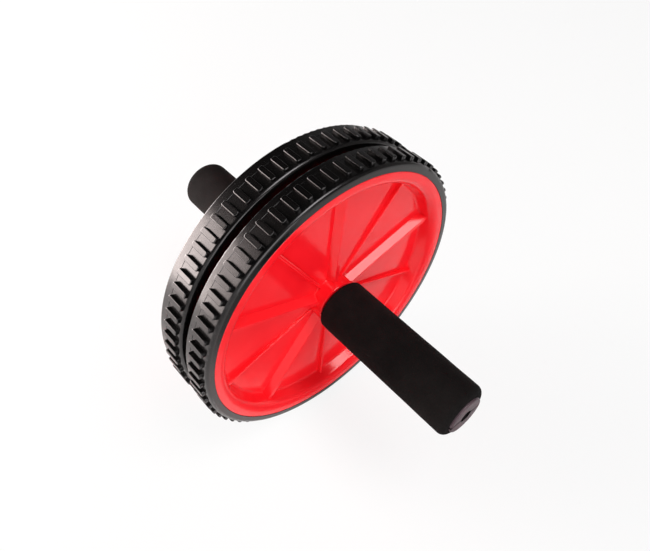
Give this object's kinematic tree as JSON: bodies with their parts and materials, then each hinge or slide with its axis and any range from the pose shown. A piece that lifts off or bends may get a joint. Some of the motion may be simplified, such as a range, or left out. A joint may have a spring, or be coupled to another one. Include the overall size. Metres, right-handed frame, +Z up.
{
  "type": "ab wheel roller",
  "caption": "Ab wheel roller: dished, ribbed wheels with treaded rubber tyres turn freely on a steel axle that carries a foam grip at each end.",
  "frame": {"origin": "on the floor under the middle of the axle, which is the bottom centre of the bounding box", "axes": "+X along the axle towards the right-hand grip, +Y across the direction of the axle, the way the roller rolls, +Z up"},
  "size_m": [0.2264, 0.182, 0.182],
  "materials": {
    "red_plastic": "moulded, glossy red",
    "tyre_rubber": "black moulded rubber, satin",
    "foam": "black closed-cell foam, matt",
    "core_plastic": "dark grey moulded plastic",
    "nylon": "natural nylon",
    "steel": "bright drawn steel",
    "spring_steel": "phosphated spring steel"
  },
  "bodies": {
    "handle_frame": {"axle": "steel", "centre_spacer": "nylon", "thrust_washer_left": "steel", "circlip_left": "spring_steel", "cross_pin_left": "steel", "core_upper_left": "core_plastic", "core_lower_left": "core_plastic", "core_dowels_left": "nylon", "foam_grip_left": "foam", "thrust_washer_right": "steel", "circlip_right": "spring_steel", "cross_pin_right": "steel", "core_upper_right": "core_plastic", "core_lower_right": "core_plastic", "core_dowels_right": "nylon", "foam_grip_right": "foam"},
    "wheel_left": {"wheel_disc_left": "red_plastic", "tyre_left": "tyre_rubber", "bush_inner_left": "nylon", "bush_outer_left": "nylon"},
    "wheel_right": {"wheel_disc_right": "red_plastic", "tyre_right": "tyre_rubber", "bush_inner_right": "nylon", "bush_outer_right": "nylon"}
  },
  "joints": [
    {"name": "wheel_left_spin", "type": "hinge", "parent": "handle_frame", "child": "wheel_left", "pos_m": [-0.0114, 0, 0.091], "axis": [1, 0, 0], "continuous": true},
    {"name": "wheel_right_spin", "type": "hinge", "parent": "handle_frame", "child": "wheel_right", "pos_m": [0.0114, 0, 0.091], "axis": [1, 0, 0], "continuous": true}
  ]
}
